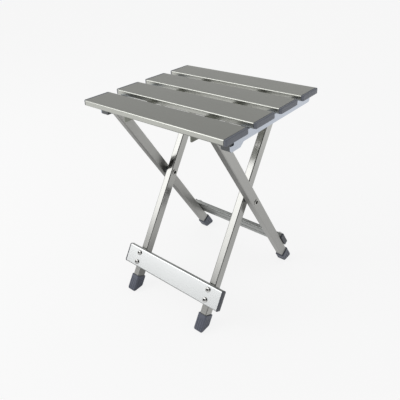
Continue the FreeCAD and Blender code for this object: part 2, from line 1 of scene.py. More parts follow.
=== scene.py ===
"""Folding stool with a slatted aluminium seat: dressed pieces, finishes, studio and camera."""
import json
import logging
import math
from collections.abc import Callable
from dataclasses import dataclass, field
from enum import Enum
from typing import Self

import bmesh
import bpy
from mathutils import Matrix, Quaternion, Vector


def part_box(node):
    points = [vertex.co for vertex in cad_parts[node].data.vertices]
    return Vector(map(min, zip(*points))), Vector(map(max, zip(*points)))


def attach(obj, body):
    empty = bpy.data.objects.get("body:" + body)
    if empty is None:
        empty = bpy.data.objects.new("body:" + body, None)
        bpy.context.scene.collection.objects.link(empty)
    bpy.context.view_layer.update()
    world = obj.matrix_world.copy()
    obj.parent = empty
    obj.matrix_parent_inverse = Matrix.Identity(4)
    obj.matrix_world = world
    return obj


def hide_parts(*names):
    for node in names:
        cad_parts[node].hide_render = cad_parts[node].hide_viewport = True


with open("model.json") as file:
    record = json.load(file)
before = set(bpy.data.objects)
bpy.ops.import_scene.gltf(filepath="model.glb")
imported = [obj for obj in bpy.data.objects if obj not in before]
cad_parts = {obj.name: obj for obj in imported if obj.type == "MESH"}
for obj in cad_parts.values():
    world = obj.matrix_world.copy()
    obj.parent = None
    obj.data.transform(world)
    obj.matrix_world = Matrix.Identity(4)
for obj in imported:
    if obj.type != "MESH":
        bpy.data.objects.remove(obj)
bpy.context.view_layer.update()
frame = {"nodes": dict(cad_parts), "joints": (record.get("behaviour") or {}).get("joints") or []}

MM = 0.001
# Angles in degrees: a quarter of a turn, the legs' lean that their die lines follow, and the least crease.
QUARTER_TURN = 90.0
LEG_LEAN = 32.3
CREASE = 40.0
# Cosines above which a direction runs partly along an axis, along it, and exactly along it.
PARTLY_ALONG = 0.5
ALONG = 0.9
STRAIGHT = 0.99
# Distance in metres within which a point counts as lying on a plane.
ON_PLANE = 0.01 * MM
# Margin in millimetres round what lies inside a bore.
BORE_MARGIN = 0.05
# Values between which nearly all of a noise texture lies.
NOISE_RANGE = (0.3, 0.7)
UP = Vector((0, 0, 1))
LOG = logging.getLogger("folding_stool")


# Colours and shader nodes

def linear(hex_colour: str) -> tuple[float, float, float, float]:
    """Turn an sRGB hex colour to linear values.

    Args:
        hex_colour: Six hex digits after a hash sign.

    Returns:
        Linear red, green, blue and an alpha of one.
    """
    channels = [int(hex_colour[place:place + 2], 16) / 255 for place in (1, 3, 5)]
    values = [c / 12.92 if c <= 0.04045 else ((c + 0.055) / 1.055) ** 2.4 for c in channels]
    return (values[0], values[1], values[2], 1.0)


def add_node(
    tree: bpy.types.NodeTree,
    kind: str,
    values: dict[str | int, object] | None = None,
    links: dict[str | int, bpy.types.NodeSocket] | None = None,
    **settings: object,
) -> bpy.types.Node:
    """Add one shader node with its settings and links.

    Args:
        tree: Node tree that takes the node.
        kind: Blender's name of the node type.
        values: Input sockets and the values set on them.
        links: Input sockets and the outputs linked to them.
        **settings: Properties of the node itself.

    Returns:
        The new node.
    """
    node = tree.nodes.new(kind)
    for name, value in settings.items():
        setattr(node, name, value)
    for socket, value in (values or {}).items():
        node.inputs[socket].default_value = value
    for socket, source in (links or {}).items():
        tree.links.new(source, node.inputs[socket])
    return node


# Finishes

@dataclass(frozen=True)
class Finish:
    """A surface with a grain, clouds of colour and an uneven gloss, all on object coordinates.

    Attributes:
        name: Common name of the material and how its surface was made.
        dark: Darker colour of the clouds.
        light: Lighter colour of the clouds.
        metallic: One for bare metal, zero for plastic and oxide.
        roughness: Mean roughness.
        uneven: How far the grain moves the roughness up and down.
        grain: Length of the grain along X, Y and Z in millimetres.
        depth: Depth of the grain in millimetres.
        cloud: Size of the colour clouds in millimetres.
        turn: Turn of the grain about X in degrees, for pieces that lean.
    """

    name: str
    dark: str
    light: str
    metallic: float
    roughness: float
    uneven: float
    grain: tuple[float, float, float]
    depth: float
    cloud: float
    turn: float = 0.0

    def material(self) -> bpy.types.Material:
        """Return the material of this finish, made on its first use.

        Returns:
            The node material.
        """
        known = bpy.data.materials.get(self.name)
        if known is not None:
            return known
        made = bpy.data.materials.new(self.name)
        made.use_nodes = True
        tree = made.node_tree
        tree.nodes.clear()
        place = add_node(tree, "ShaderNodeTexCoord").outputs["Object"]
        turned = add_node(
            tree, "ShaderNodeMapping", {"Rotation": (math.radians(-self.turn), 0.0, 0.0)}, {"Vector": place})
        stretched = add_node(
            tree, "ShaderNodeMapping", {"Scale": tuple(1 / (side * MM) for side in self.grain)},
            {"Vector": turned.outputs["Vector"]})
        grain = add_node(
            tree, "ShaderNodeTexNoise", {"Scale": 1.0, "Detail": 3.0, "Roughness": 0.55},
            {"Vector": stretched.outputs["Vector"]})
        clouds = add_node(
            tree, "ShaderNodeTexNoise", {"Scale": 1 / (self.cloud * MM), "Detail": 2.0, "Roughness": 0.5},
            {"Vector": place})
        colour = add_node(
            tree, "ShaderNodeMix", {"A": linear(self.dark), "B": linear(self.light)},
            {"Factor": clouds.outputs["Fac"]}, data_type="RGBA")
        gloss = add_node(
            tree, "ShaderNodeMapRange",
            {"From Min": NOISE_RANGE[0], "From Max": NOISE_RANGE[1],
             "To Min": self.roughness - self.uneven, "To Max": self.roughness + self.uneven},
            {"Value": grain.outputs["Fac"]})
        bump = add_node(
            tree, "ShaderNodeBump", {"Strength": 1.0, "Distance": self.depth * MM},
            {"Height": grain.outputs["Fac"]})
        shader = add_node(
            tree, "ShaderNodeBsdfPrincipled", {"Metallic": self.metallic},
            {"Base Color": colour.outputs["Result"], "Roughness": gloss.outputs["Result"],
             "Normal": bump.outputs["Normal"]})
        add_node(tree, "ShaderNodeOutputMaterial", links={"Surface": shader.outputs["BSDF"]})
        return made


# The grain of every finish is drawn coarser than the real one, which is too fine to show.

# Matt anodised aluminium of the slats: blasted and dyed a dull olive grey, so it has no clear reflections.
SLAT_ALUMINIUM = Finish(
    "blasted_anodised_aluminium_slat", "#aaaba5", "#b0b1ab", 1.0, 0.36, 0.02, (2.4, 1.2, 1.2), 0.003, 45.0)

# The same slats on their long upper edges: smoother, and brighter in colour as a painted highlight, a thin
# light line.
SLAT_EDGE_PAINTED_HIGHLIGHT = Finish(
    "rubbed_anodised_aluminium_slat_edge", "#c6c7c1", "#d0d1cb", 1.0, 0.3, 0.02, (2.4, 1.2, 1.2), 0.002, 45.0)

# Drawn aluminium tube with faint die lines along the leg: the outer legs are satin and mirror softly, and the
# inner legs are smoother and mirror the window more clearly.
OUTER_LEG_ALUMINIUM = Finish(
    "drawn_satin_aluminium_outer_leg", "#a7a7a4", "#acaca9", 1.0, 0.42, 0.01, (1.3, 1.3, 120.0), 0.0001, 60.0,
    LEG_LEAN)
INNER_LEG_ALUMINIUM = Finish(
    "drawn_satin_aluminium_inner_leg", "#a3a3a0", "#a8a8a5", 1.0, 0.17, 0.01, (1.3, 1.3, 120.0), 0.0001, 60.0,
    -LEG_LEAN)

# Front of the crossbars, satin aluminium brushed along its length, coloured nearly white as a painted sheen
# of the soft box.
BAR_PAINTED_SHEEN_ALUMINIUM = Finish(
    "brushed_aluminium_crossbar", "#d4d6d6", "#dadcdc", 1.0, 0.27, 0.005, (120.0, 1.2, 1.2), 0.00005, 60.0)

# Back and narrow sides of the crossbars, as the press leaves them: duller than the front, and greyer, as they
# lack its painted sheen.
BAR_BACK_ALUMINIUM = Finish(
    "pressed_aluminium_crossbar_back", "#9a9c9a", "#a2a4a2", 1.0, 0.42, 0.02, (120.0, 1.2, 1.2), 0.0008, 60.0)

# Rolled aluminium angle in mill finish: pale, slightly blue, with rolling lines from front to rear.
RAIL_ALUMINIUM = Finish(
    "rolled_aluminium_rail", "#aab0ba", "#b2b8c2", 1.0, 0.28, 0.02, (1.2, 90.0, 1.2), 0.0008, 40.0)

# The same angle where it guides the slide pins: duller, and darker in colour as painted shade of the seat
# above it.
GUIDE_PAINTED_SHADE_ALUMINIUM = Finish(
    "rolled_aluminium_guide_rail", "#85877f", "#8e9089", 1.0, 0.4, 0.03, (1.2, 90.0, 1.2), 0.0015, 40.0)

# Polyamide with a fine spark-eroded mould texture: dark slate, a dull broad highlight.
CAP_PLASTIC = Finish(
    "moulded_polyamide_end_cap", "#62666f", "#6b6f78", 0.0, 0.5, 0.05, (1.4, 1.4, 1.4), 0.02, 20.0)
BAR_CAP_PLASTIC = Finish(
    "moulded_polyamide_bar_cap", "#3b3e45", "#44474e", 0.0, 0.45, 0.05, (1.4, 1.4, 1.4), 0.02, 20.0)
FOOT_PLASTIC = Finish(
    "moulded_polyamide_foot", "#565a66", "#606470", 0.0, 0.48, 0.05, (1.4, 1.4, 1.4), 0.02, 14.0)
BUSH_PLASTIC = Finish(
    "moulded_acetal_bush", "#4c4f52", "#55585b", 0.0, 0.42, 0.05, (1.2, 1.2, 1.2), 0.02, 10.0)

# Nickel-plated rivet domes: nearly a mirror, with a faint cloud of handling marks.
RIVET_NICKEL = Finish(
    "nickel_plated_rivet", "#c4c4c2", "#cfcfcd", 1.0, 0.12, 0.03, (1.0, 1.0, 1.0), 0.001, 4.0)

# Steel painted near black as the shade at the bottom of bores and on rivet stems: takes nearly all the light.
PAINTED_SHADE_BORE = Finish(
    "painted_shade_bore", "#141516", "#1a1b1c", 0.0, 0.6, 0.05, (1.0, 1.0, 1.0), 0.001, 4.0)

# Zinc-plated steel pivots: greyer and softer than the nickel.
PIVOT_ZINC = Finish(
    "zinc_plated_pivot", "#a9a9a5", "#b8b8b4", 1.0, 0.28, 0.05, (1.2, 1.2, 1.2), 0.002, 5.0)


# Shaping a mesh in edit mode

class Workpiece:
    """One mesh in the making, shaped in edit mode by operators."""

    def __init__(self, name: str) -> None:
        """Take over the active object under a name."""
        self.obj: bpy.types.Object = bpy.context.active_object
        self.obj.name = name
        self.obj.data.name = name

    @classmethod
    def block(cls, name: str, low: Vector, high: Vector) -> Self:
        """Start from a block.

        Args:
            name: Name of the piece.
            low: Lowest corner in metres.
            high: Highest corner in metres.

        Returns:
            The workpiece.
        """
        bpy.ops.object.select_all(action="DESELECT")
        bpy.ops.mesh.primitive_cube_add(size=1.0, location=(low + high) / 2)
        bpy.context.active_object.scale = high - low
        bpy.ops.object.transform_apply(location=True, rotation=True, scale=True)
        return cls(name)

    @classmethod
    def drum(cls, name: str, radius: float, start: Vector, end: Vector, sides: int) -> Self:
        """Start from a round drum.

        Args:
            name: Name of the piece.
            radius: Radius in millimetres.
            start: Middle of the first end in metres.
            end: Middle of the other end in metres.
            sides: Number of sides of the drum.

        Returns:
            The workpiece.
        """
        axis = end - start
        bpy.ops.object.select_all(action="DESELECT")
        bpy.ops.mesh.primitive_cylinder_add(
            vertices=sides, radius=radius * MM, depth=axis.length, end_fill_type="NGON",
            location=(start + end) / 2, rotation=axis.to_track_quat("Z", "Y").to_euler())
        bpy.ops.object.transform_apply(location=True, rotation=True, scale=True)
        return cls(name)

    def open(self) -> None:
        """Enter edit mode on this piece alone."""
        if self.obj.mode == "EDIT":
            return
        bpy.ops.object.select_all(action="DESELECT")
        self.obj.select_set(True)
        bpy.context.view_layer.objects.active = self.obj
        bpy.ops.object.mode_set(mode="EDIT")

    def close(self) -> None:
        """Leave edit mode with this piece active and selected."""
        self.open()
        bpy.ops.object.mode_set(mode="OBJECT")

    def faces(self, rule: Callable[[Vector, Vector], bool]) -> Self:
        """Select faces.

        Args:
            rule: Test of a face's centre and normal.

        Returns:
            This workpiece.
        """
        self.open()
        bpy.ops.mesh.select_mode(type="FACE")
        bpy.ops.mesh.select_all(action="DESELECT")
        mesh = bmesh.from_edit_mesh(self.obj.data)
        for face in [f for f in mesh.faces if rule(f.calc_center_median(), f.normal)]:
            face.select_set(True)
        bmesh.update_edit_mesh(self.obj.data)
        return self

    def edges(self, rule: Callable[[Vector, Vector], bool]) -> Self:
        """Select edges.

        Args:
            rule: Test of an edge's middle and unit direction.

        Returns:
            This workpiece.
        """
        self.open()
        bpy.ops.mesh.select_mode(type="EDGE")
        bpy.ops.mesh.select_all(action="DESELECT")
        mesh = bmesh.from_edit_mesh(self.obj.data)
        for edge in mesh.edges:
            first, last = (v.co for v in edge.verts)
            if rule((first + last) / 2, (last - first).normalized()):
                edge.select_set(True)
        bmesh.update_edit_mesh(self.obj.data)
        return self

    def bevel(self, offset: float, segments: int) -> Self:
        """Round the selected edges by an offset in millimetres, which is the radius at a square edge."""
        bpy.ops.mesh.bevel(
            offset=offset * MM, offset_type="OFFSET", segments=segments, profile=0.5, affect="EDGES",
            clamp_overlap=True)
        return self

    def weighted_bevel(
        self, rule: Callable[[Vector, Vector], float], radius: float, segments: int,
    ) -> Self:
        """Round edges by their shares of a radius.

        Args:
            rule: Share from an edge's middle and unit direction, zero for an edge that stays sharp.
            radius: Radius of a whole share in millimetres.
            segments: Segments of the rounding.

        Returns:
            This workpiece.
        """
        self.close()
        mesh = self.obj.data
        shares = mesh.attributes.new("bevel_weight_edge", "FLOAT", "EDGE")
        for edge in mesh.edges:
            first, last = (mesh.vertices[index].co for index in edge.vertices)
            shares.data[edge.index].value = rule((first + last) / 2, (last - first).normalized())
        bpy.ops.object.modifier_add(type="BEVEL")
        rounding = self.obj.modifiers[-1]
        rounding.limit_method = "WEIGHT"
        rounding.width = radius * MM
        rounding.segments = segments
        bpy.ops.object.modifier_apply(modifier=rounding.name)
        self.obj.data.attributes.remove(self.obj.data.attributes["bevel_weight_edge"])
        return self

    def inset(self, width: float) -> Self:
        """Inset the selected faces, by a width in millimetres."""
        bpy.ops.mesh.inset(thickness=width * MM, depth=0.0, use_even_offset=True)
        return self

    def extrude(self, offset: Vector) -> Self:
        """Extrude the selected faces, by an offset in metres."""
        bpy.ops.mesh.extrude_region_move(TRANSFORM_OT_translate={"value": offset})
        return self

    def resize(self, factor: float, centre: Vector) -> Self:
        """Scale the selected faces about a centre."""
        bpy.ops.transform.resize(value=(factor, factor, factor), center_override=centre)
        return self

    def cut(self, point: Vector, normal: Vector, drop: bool = False) -> Self:
        """Cut the whole piece with a plane.

        Args:
            point: Point on the plane in metres.
            normal: Normal of the plane.
            drop: Whether what lies behind the plane is removed and the cut is closed.

        Returns:
            This workpiece.
        """
        self.open()
        bpy.ops.mesh.select_all(action="SELECT")
        bpy.ops.mesh.bisect(plane_co=point, plane_no=normal, use_fill=drop, clear_inner=drop)
        return self

    def place(self, turn: float, where: Vector) -> Self:
        """Turn the piece about X and move it, then put that into its mesh.

        Args:
            turn: Angle in degrees.
            where: Place of the piece's own origin in metres.

        Returns:
            This workpiece.
        """
        self.close()
        self.obj.rotation_euler = (math.radians(turn), 0.0, 0.0)
        self.obj.location = where
        bpy.ops.object.transform_apply(location=True, rotation=True, scale=True)
        return self

    def copy(self, name: str) -> Self:
        """Copy the piece with a mesh of its own.

        Args:
            name: Name of the copy.

        Returns:
            The copy, active and selected.
        """
        self.close()
        twin = self.obj.copy()
        twin.data = self.obj.data.copy()
        bpy.context.scene.collection.objects.link(twin)
        bpy.ops.object.select_all(action="DESELECT")
        twin.select_set(True)
        bpy.context.view_layer.objects.active = twin
        return type(self)(name)

    def join(self, others: list[Self]) -> Self:
        """Join other pieces into this one.

        Args:
            others: Pieces that become part of this mesh.

        Returns:
            This workpiece.
        """
        self.close()
        for other in others:
            other.obj.select_set(True)
        bpy.context.view_layer.objects.active = self.obj
        bpy.ops.object.join()
        return self

    def smooth(self) -> Self:
        """Shade round edges smooth and keep the flats flat, and the creases sharp."""
        self.close()
        bpy.ops.object.shade_smooth_by_angle(angle=math.radians(CREASE))
        bpy.ops.object.modifier_add(type="WEIGHTED_NORMAL")
        weighting = self.obj.modifiers[-1]
        weighting.keep_sharp = True
        bpy.ops.object.modifier_apply(modifier=weighting.name)
        return self

    def coat(self, finish: Finish, accent: Finish | None = None) -> Self:
        """Give the piece its finish.

        Args:
            finish: Finish of the whole piece.
            accent: Finish of the faces that are selected, if they differ.

        Returns:
            This workpiece.
        """
        self.close()
        self.obj.data.materials.clear()
        self.obj.data.materials.append(finish.material())
        if accent is not None:
            self.obj.data.materials.append(accent.material())
            self.open()
            self.obj.active_material_index = 1
            bpy.ops.object.material_slot_assign()
            self.close()
        return self

    def dress(self, body: str, slot: str, *nodes: str) -> Self:
        """Give the piece its body and the solids it stands for.

        Args:
            body: Body that the piece moves with.
            slot: Material slot of the record; not used.
            *nodes: Solids that the piece replaces.

        Returns:
            This workpiece.
        """
        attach(self.obj, body)
        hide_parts(*nodes)
        LOG.info("%s rides on %s for %s", self.obj.name, body, ", ".join(nodes))
        return self


# How the legs stand

class LegPair(Enum):
    """The two pairs of legs, by the way their tops lean: 1 to the front and -1 to the rear."""

    OUTER = 1
    INNER = -1

    @property
    def word(self) -> str:
        """Word in the names of this pair's pieces."""
        return self.name.lower()

    @property
    def body(self) -> str:
        """Body of this pair."""
        return f"{self.word}_legs"

    @property
    def bar(self) -> str:
        """Name of the crossbar that this pair carries."""
        return "rear_crossbar" if self is LegPair.OUTER else "front_crossbar"


class Side(Enum):
    """The two ends of the stool along X."""

    RIGHT = 1
    LEFT = -1

    @property
    def word(self) -> str:
        """Word in the names of pieces on this side."""
        return self.name.lower()


@dataclass(frozen=True)
class Stance:
    """Where leg pieces stand: they are made upright about the cross pivot and then leaned.

    Attributes:
        pivot: Cross pivot in metres.
        lean: Lean of the legs in degrees.
        outer_x: Middle of the right outer leg in millimetres.
        inner_x: Middle of the right inner leg in millimetres.
    """

    pivot: Vector
    lean: float
    outer_x: float = 114.3
    inner_x: float = 92.3

    @classmethod
    def from_joints(cls, joints: list[dict]) -> Self:
        """Read the pivot and the lean from the joints.

        Args:
            joints: Joints of the frame.

        Returns:
            The stance.
        """
        places = {joint["name"]: Vector(joint["pos_m"]) for joint in joints}
        rise = places["seat_tilt"] - places["leg_fold"]
        return cls(places["leg_fold"], math.degrees(math.atan2(-rise.y, rise.z)))

    @property
    def below(self) -> float:
        """Length of a leg from the cross pivot to the floor, in millimetres."""
        return self.pivot.z / MM / math.cos(math.radians(self.lean))

    def leg_x(self, pair: LegPair) -> float:
        """Middle of the right leg of a pair, in millimetres."""
        return self.outer_x if pair is LegPair.OUTER else self.inner_x

    def turn(self, pair: LegPair) -> float:
        """Turn about X from upright to the pair's lean, in degrees."""
        return pair.value * self.lean

    def spot(self, pair: LegPair, x: float, y: float, z: float) -> Vector:
        """Place in metres of a point of a pair's upright frame, which is given in millimetres."""
        lean = Matrix.Rotation(math.radians(self.turn(pair)), 3, "X")
        return self.pivot + lean @ (Vector((x, y, z)) * MM)


# Seat

@dataclass
class SeatSlats:
    """The slats of the seat and their end caps. Sizes are in millimetres.

    Attributes:
        count: Number of slats.
        edge: Radius of the long edges.
        cap_length: Length of a cap outside its slat.
        cap_corner: Radius of a cap's upright corners.
        cap_rim: Radius round the end face of a cap.
        seam: Open seam between cap and slat.
        painted_highlight_rise: Least and greatest rise of a normal where a slat's edge takes the painted
            highlight.
    """

    count: int = 4
    edge: float = 2.5
    cap_length: float = 4.5
    cap_corner: float = 4.0
    cap_rim: float = 1.0
    seam: float = 0.7
    painted_highlight_rise: tuple[float, float] = (0.4, 0.95)

    def build(self) -> None:
        """Build and dress all slats and caps."""
        for number in range(1, self.count + 1):
            self.slat(number)
            for side in Side:
                self.cap(number, side)

    def slat(self, number: int) -> None:
        """Build one slat: a flat extrusion with round long edges.

        Args:
            number: Number of the slat from the front.
        """
        node = f"seat_slat_{number}"
        low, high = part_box(node)
        ends = Vector((self.seam / 2 * MM, 0, 0))
        piece = Workpiece.block(f"slat_{number}", low + ends, high - ends)
        piece.edges(lambda middle, along: abs(along.x) > ALONG).bevel(self.edge, segments=6)
        # The upper round edges take the painted highlight, a brighter colour along each edge.
        least, greatest = self.painted_highlight_rise
        piece.faces(lambda centre, normal: least < normal.z < greatest)
        piece.coat(SLAT_ALUMINIUM, SLAT_EDGE_PAINTED_HIGHLIGHT).smooth().dress("seat", "slat_aluminium", node)

    def cap(self, number: int, side: Side) -> None:
        """Build one end cap: a moulded block with a round end, and a fine seam towards the slat.

        Args:
            number: Number of the slat from the front.
            side: End of the slat.
        """
        node = f"slat_end_cap_{side.word}_{number}"
        low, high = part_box(node)
        outer = max(low.x * side.value, high.x * side.value)
        inner = outer - (self.cap_length - self.seam / 2) * MM
        low.x, high.x = sorted((side.value * inner, side.value * outer))
        piece = Workpiece.block(f"slat_cap_{side.word}_{number}", low, high)
        piece.edges(lambda middle, along: abs(along.z) > ALONG and abs(middle.x) > (inner + outer) / 2)
        piece.bevel(self.cap_corner, segments=6)
        rim = self.cap_rim / self.edge
        piece.weighted_bevel(
            lambda middle, along: cap_share(abs(middle.x) - inner, along, corner_axis=2, rim=rim),
            self.edge, segments=5)
        piece.smooth().coat(CAP_PLASTIC).dress("seat", "end_cap_plastic", node)


def cap_share(beyond: float, along: Vector, corner_axis: int, rim: float) -> float:
    """Share of a cap's rounding that an edge gets: all along the bar, less round the end face.

    Args:
        beyond: Distance of the edge's middle from the open end in metres.
        along: Unit direction of the edge.
        corner_axis: Axis of the round corners, whose own edges stay as they are.
        rim: Share of the end face's rim.

    Returns:
        The share, zero at the open end.
    """
    if beyond < ON_PLANE or abs(along[corner_axis]) > PARTLY_ALONG:
        return 0.0
    return rim + (1.0 - rim) * along.x ** 2


# Crossbars

@dataclass
class Crossbar:
    """A flat bar across the legs of one pair, with its caps and rivets. Sizes are in millimetres.

    Attributes:
        pair: Legs that carry it.
        stance: How the legs stand.
        leg_depth: Depth of a leg.
        thickness: Thickness of the bar.
        width: Width of the bar.
        foot_length: Length of a foot.
        above_foot: Space between foot and bar.
        half_length: Half of the bar with its caps.
        cap_length: Length of a cap.
        cap_corner: Radius of a cap's outer corners.
        cap_rim: Radius round the end face of a cap.
        edge: Radius of the long edges.
        groove: Width and depth of the groove on the legs' side.
        brushed: Outward part of a normal from which the bar is brushed and takes the painted sheen.
        rivet_spacing: Distance of the two rivets on a leg.
        rivet_radius: Radius of a rivet's dome.
        rivet_height: Height of a rivet's dome.
        rivet_edge: Radius round a rivet's dome.
        hollow_radius: Radius of the hollow in a rivet's dome.
        hollow_depth: Depth of that hollow.
        stem_gap: Gap round the broken stem in the hollow.
        stem_height: Height of the stem in the hollow.
    """

    pair: LegPair
    stance: Stance
    leg_depth: float = 20.0
    thickness: float = 10.5
    width: float = 40.0
    foot_length: float = 30.0
    above_foot: float = 20.5
    half_length: float = 124.8
    cap_length: float = 3.0
    cap_corner: float = 2.6
    cap_rim: float = 1.0
    edge: float = 3.0
    groove: tuple[float, float] = (4.0, 0.7)
    brushed: float = 0.7
    rivet_spacing: float = 20.0
    rivet_radius: float = 5.3
    rivet_height: float = 3.0
    rivet_edge: float = 2.3
    hollow_radius: float = 1.9
    hollow_depth: float = 2.4
    stem_gap: float = 0.4
    stem_height: float = 1.2

    @property
    def middle(self) -> float:
        """Height of the bar's middle above the cross pivot, along the leg."""
        return -(self.stance.below - self.foot_length - self.above_foot - self.width / 2)

    def build(self) -> None:
        """Build and dress the bar, its caps and its rivets."""
        self.bar()
        for side in Side:
            self.cap(side)
        self.rivets()

    def corners(self, x_start: float, x_end: float) -> tuple[Vector, Vector]:
        """Corners of a stretch of the bar in the upright frame.

        Args:
            x_start: Start along X in millimetres.
            x_end: End along X in millimetres.

        Returns:
            Lowest and highest corner in metres.
        """
        xs = sorted((x_start, x_end))
        ys = sorted(self.pair.value * (self.leg_depth / 2 + out) for out in (0.0, self.thickness))
        zs = (self.middle - self.width / 2, self.middle + self.width / 2)
        low, high = (Vector(corner) * MM for corner in zip(xs, ys, zs))
        return low, high

    def bar(self) -> None:
        """Build the bar with round edges, a brushed front with a painted sheen and a groove on the legs'
        side.
        """
        reach = self.half_length - self.cap_length
        piece = Workpiece.block(f"{self.pair.bar}_profile", *self.corners(-reach, reach))
        piece.edges(lambda middle, along: abs(along.x) > ALONG).bevel(self.edge, segments=7)
        width, depth = self.groove
        for offset in (-width / 2, width / 2):
            piece.cut((self.middle + offset) * MM * UP, UP)
        outward = self.pair.value
        piece.faces(
            lambda centre, normal: normal.y * outward < -ALONG
            and abs(centre.z / MM - self.middle) < width / 2)
        piece.extrude(Vector((0, outward * depth * MM, 0)))
        # Faces below the outward share take the plain back; the rest keeps the nearly white painted sheen.
        piece.faces(lambda centre, normal: normal.y * outward < self.brushed)
        piece.coat(BAR_PAINTED_SHEEN_ALUMINIUM, BAR_BACK_ALUMINIUM).place(self.stance.turn(self.pair), self.stance.pivot)
        piece.smooth().dress(self.pair.body, "crossbar_aluminium", self.pair.bar)

    def cap(self, side: Side) -> None:
        """Build one end cap.

        Args:
            side: End of the bar.
        """
        inner = self.half_length - self.cap_length
        name = f"{self.pair.bar}_cap_{side.word}"
        piece = Workpiece.block(
            f"{name}_moulded", *self.corners(side.value * inner, side.value * self.half_length))
        half_way = (inner + self.half_length) / 2 * MM
        piece.edges(lambda middle, along: abs(along.y) > ALONG and abs(middle.x) > half_way)
        piece.bevel(self.cap_corner, segments=6)
        rim = self.cap_rim / self.edge
        piece.weighted_bevel(
            lambda middle, along: cap_share(abs(middle.x) - inner * MM, along, corner_axis=1, rim=rim),
            self.edge, segments=6)
        piece.place(self.stance.turn(self.pair), self.stance.pivot)
        piece.smooth().coat(BAR_CAP_PLASTIC).dress(self.pair.body, "crossbar_cap_plastic", name)

    def rivets(self) -> None:
        """Build the four domed blind rivets: a round flange with the broken stem sunk in its middle."""
        height = self.rivet_height * MM
        near_base, near_top = 0.1 * MM, 0.99 * height
        model = Workpiece.drum("rivet_model", self.rivet_radius, Vector(), height * UP, sides=48)
        model.edges(lambda middle, along: middle.z > near_top).bevel(self.rivet_edge, segments=8)
        model.faces(lambda centre, normal: normal.z > STRAIGHT and centre.z > near_top)
        model.inset(self.rivet_radius - self.rivet_edge - self.hollow_radius)
        model.extrude(-self.hollow_depth * MM * UP)
        model.inset(self.stem_gap).extrude(self.stem_height * MM * UP)
        # The hollow and the stem take the near-black painted shade.
        inside = (self.hollow_radius + BORE_MARGIN) * MM
        model.faces(lambda centre, normal: centre.xy.length < inside and near_base < centre.z < near_top)
        model.coat(RIVET_NICKEL, PAINTED_SHADE_BORE).smooth()
        copies = []
        for side in Side:
            for step in (-0.5, 0.5):
                x = side.value * self.stance.leg_x(self.pair)
                y = self.pair.value * (self.leg_depth / 2 + self.thickness)
                copy = model.copy(f"{self.pair.bar}_rivet_{side.word}")
                copy.place(
                    self.stance.turn(self.pair) - QUARTER_TURN * self.pair.value,
                    self.stance.spot(self.pair, x, y, self.middle + step * self.rivet_spacing))
                copies.append(copy)
        bpy.data.objects.remove(model.obj)
        piece = copies[0].join(copies[1:])
        piece.obj.name = f"{self.pair.bar}_rivet_set"
        piece.dress(self.pair.body, "crossbar_rivet_steel", f"{self.pair.bar}_rivets")


# Feet

